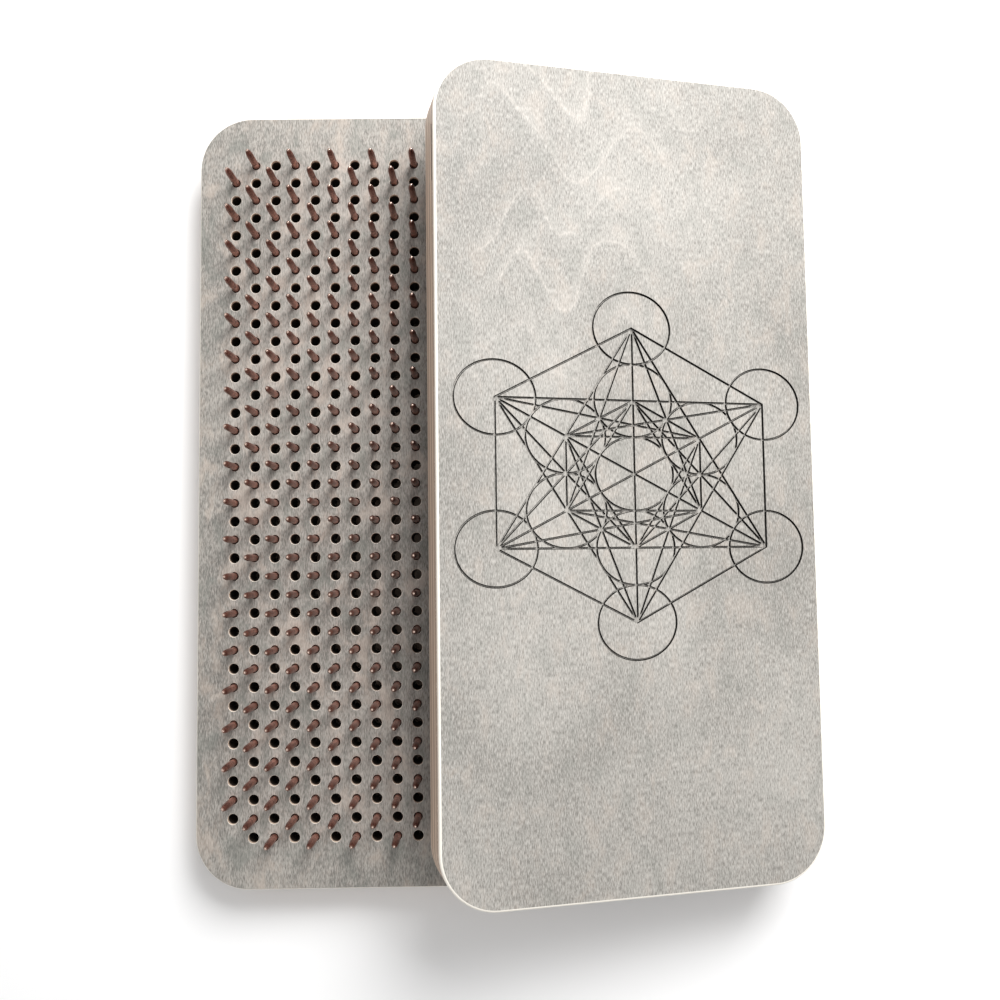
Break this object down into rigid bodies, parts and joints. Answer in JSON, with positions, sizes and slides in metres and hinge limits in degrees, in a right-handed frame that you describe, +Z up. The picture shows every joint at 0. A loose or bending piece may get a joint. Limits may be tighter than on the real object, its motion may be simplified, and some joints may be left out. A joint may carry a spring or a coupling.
{
  "type": "nesting nail board pair",
  "caption": "Pair of stained plywood boards set with pointed nails between receiving holes; one lies nails up, the other leans over it nails down, and they nest face to face.",
  "frame": {"origin": "centre of the lower board's underside, on the surface it lies on", "axes": "+Z up, +Y along the boards' long side, +X towards the upper board's standing edge"},
  "size_m": [0.2844, 0.3653, 0.0738],
  "materials": {
    "stained_panel": "grey-beige stained birch plywood, matt",
    "stained_back": "grey-beige stained birch plywood with engraved dark lines, matt",
    "nail_metal": "copper-plated, satin"
  },
  "bodies": {
    "lower_board": {"lower_perforated_panel": "stained_panel", "lower_back_panel": "stained_back", "lower_nail_column_01": "nail_metal", "lower_nail_column_02": "nail_metal", "lower_nail_column_03": "nail_metal", "lower_nail_column_04": "nail_metal", "lower_nail_column_05": "nail_metal", "lower_nail_column_06": "nail_metal", "lower_nail_column_07": "nail_metal", "lower_nail_column_08": "nail_metal", "lower_nail_column_09": "nail_metal", "lower_nail_column_10": "nail_metal", "lower_nail_column_11": "nail_metal", "lower_nail_column_12": "nail_metal", "lower_nail_column_13": "nail_metal", "lower_nail_column_14": "nail_metal", "lower_nail_column_15": "nail_metal", "lower_nail_column_16": "nail_metal"},
    "upper_board": {"upper_perforated_panel": "stained_panel", "upper_back_panel": "stained_back", "upper_nail_column_01": "nail_metal", "upper_nail_column_02": "nail_metal", "upper_nail_column_03": "nail_metal", "upper_nail_column_04": "nail_metal", "upper_nail_column_05": "nail_metal", "upper_nail_column_06": "nail_metal", "upper_nail_column_07": "nail_metal", "upper_nail_column_08": "nail_metal", "upper_nail_column_09": "nail_metal", "upper_nail_column_10": "nail_metal", "upper_nail_column_11": "nail_metal", "upper_nail_column_12": "nail_metal", "upper_nail_column_13": "nail_metal", "upper_nail_column_14": "nail_metal", "upper_nail_column_15": "nail_metal", "upper_nail_column_16": "nail_metal"}
  },
  "joints": [
    {"name": "upper_tip_up", "type": "hinge", "parent": "lower_board", "child": "upper_board", "pos_m": [0.1715, 0, 0], "axis": [0, 1, 0], "range_deg": [0, 33]}
  ]
}
